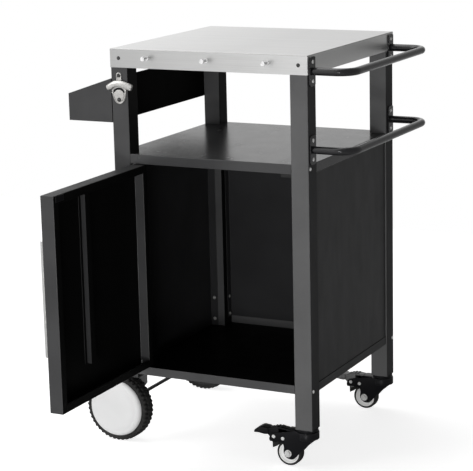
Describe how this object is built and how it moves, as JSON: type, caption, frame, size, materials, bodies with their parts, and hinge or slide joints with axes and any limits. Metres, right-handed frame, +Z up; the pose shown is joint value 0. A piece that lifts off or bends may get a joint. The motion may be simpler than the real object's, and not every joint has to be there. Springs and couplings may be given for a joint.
{
  "type": "grill cart with storage",
  "caption": "Wheeled outdoor grill cart: steel worktop, open shelf, cabinet with hinged door, side tray, towel bars, large wheels on an axle and braked swivel casters.",
  "frame": {"origin": "on the floor, under the middle of the bounding box with the door open", "axes": "+X to the right seen from the front, +Y to the back, +Z up"},
  "size_m": [0.6602, 0.8256, 0.8788],
  "materials": {
    "stainless": "brushed, satin",
    "stainless_pull": "brushed, satin",
    "chrome": "polished",
    "cast_nickel": "cast, satin plated",
    "black_powder": "satin powder coat",
    "black_gloss": "semi-gloss powder coat",
    "black_screw": "blackened, satin",
    "zinc_steel": "bright zinc-plated steel",
    "caster_black": "gloss black coat",
    "black_plastic": "moulded",
    "grey_plastic": "smooth moulded",
    "white_plastic": "smooth moulded",
    "tyre_rubber": "moulded tread",
    "brake_rubber": "moulded"
  },
  "bodies": {
    "frame": {"worktop": "stainless", "apron_screws": "black_screw", "tool_hooks": "chrome", "leg_front_left": "black_powder", "leg_rear_left": "black_powder", "leg_front_right": "black_powder", "leg_rear_right": "black_powder", "leg_end_caps": "black_plastic", "middle_shelf": "black_powder", "bottom_shelf": "black_powder", "shelf_screws": "black_screw", "side_panel_left": "black_powder", "side_panel_right": "black_powder", "back_panel": "black_powder", "panel_screws": "black_screw", "hinge_brackets": "black_powder", "hinge_pins": "zinc_steel", "magnet_catch": "black_plastic", "side_tray": "black_powder", "tray_screws": "black_screw", "bottle_opener": "cast_nickel", "opener_screws": "black_screw", "towel_bar_upper": "black_gloss", "towel_bar_lower": "black_gloss", "towel_bar_plates": "black_powder", "towel_bar_screws": "black_screw", "axle_brackets": "black_powder", "axle": "black_powder", "axle_washers": "zinc_steel", "axle_retainers": "zinc_steel", "caster_sockets": "black_plastic", "caster_races": "caster_black", "caster_stems": "zinc_steel"},
    "door": {"door_shell": "black_powder", "door_stiffener": "black_powder", "door_pull": "stainless_pull", "door_pull_screws": "black_screw", "hinge_bushes": "black_plastic", "catch_strike": "zinc_steel"},
    "front_wheel": {"front_wheel_tyre": "tyre_rubber", "front_wheel_rim": "black_plastic", "front_wheel_hub_cap": "grey_plastic"},
    "front_caster_swivel": {"front_caster_fork": "caster_black", "front_caster_axle_bolt": "zinc_steel", "front_caster_rivets": "zinc_steel"},
    "front_caster_roller": {"front_caster_wheel": "white_plastic", "front_caster_tyre": "tyre_rubber"},
    "front_caster_brake": {"front_caster_pedal": "caster_black", "front_caster_brake_shoe": "brake_rubber"},
    "rear_wheel": {"rear_wheel_tyre": "tyre_rubber", "rear_wheel_rim": "black_plastic", "rear_wheel_hub_cap": "grey_plastic"},
    "rear_caster_swivel": {"rear_caster_fork": "caster_black", "rear_caster_axle_bolt": "zinc_steel", "rear_caster_rivets": "zinc_steel"},
    "rear_caster_roller": {"rear_caster_wheel": "white_plastic", "rear_caster_tyre": "tyre_rubber"},
    "rear_caster_brake": {"rear_caster_pedal": "caster_black", "rear_caster_brake_shoe": "brake_rubber"}
  },
  "joints": [
    {"name": "door_hinge", "type": "hinge", "parent": "frame", "child": "door", "pos_m": [-0.1747, -0.047, 0.4085], "axis": [0, 0, 1], "range_deg": [-15, 90]},
    {"name": "front_wheel_spin", "type": "hinge", "parent": "frame", "child": "front_wheel", "pos_m": [-0.2466, -0.026, 0.0762], "axis": [0, 1, 0], "continuous": true},
    {"name": "rear_wheel_spin", "type": "hinge", "parent": "frame", "child": "rear_wheel", "pos_m": [-0.2466, 0.3813, 0.0762], "axis": [0, 1, 0], "continuous": true},
    {"name": "front_caster_turn", "type": "hinge", "parent": "frame", "child": "front_caster_swivel", "pos_m": [0.2151, -0.0325, 0.0805], "axis": [0, 0, 1], "continuous": true},
    {"name": "front_caster_roll", "type": "hinge", "parent": "front_caster_swivel", "child": "front_caster_roller", "pos_m": [0.1749, -0.0325, 0.0282], "axis": [0, 1, 0], "continuous": true},
    {"name": "front_caster_brake_press", "type": "hinge", "parent": "front_caster_swivel", "child": "front_caster_brake", "pos_m": [0.1414, -0.0325, 0.062], "axis": [0, -1, 0], "range_deg": [0, 6]},
    {"name": "rear_caster_turn", "type": "hinge", "parent": "frame", "child": "rear_caster_swivel", "pos_m": [0.2151, 0.3878, 0.0805], "axis": [0, 0, 1], "continuous": true},
    {"name": "rear_caster_roll", "type": "hinge", "parent": "rear_caster_swivel", "child": "rear_caster_roller", "pos_m": [0.1749, 0.3878, 0.0282], "axis": [0, 1, 0], "continuous": true},
    {"name": "rear_caster_brake_press", "type": "hinge", "parent": "rear_caster_swivel", "child": "rear_caster_brake", "pos_m": [0.1414, 0.3878, 0.062], "axis": [0, -1, 0], "range_deg": [0, 6]}
  ]
}
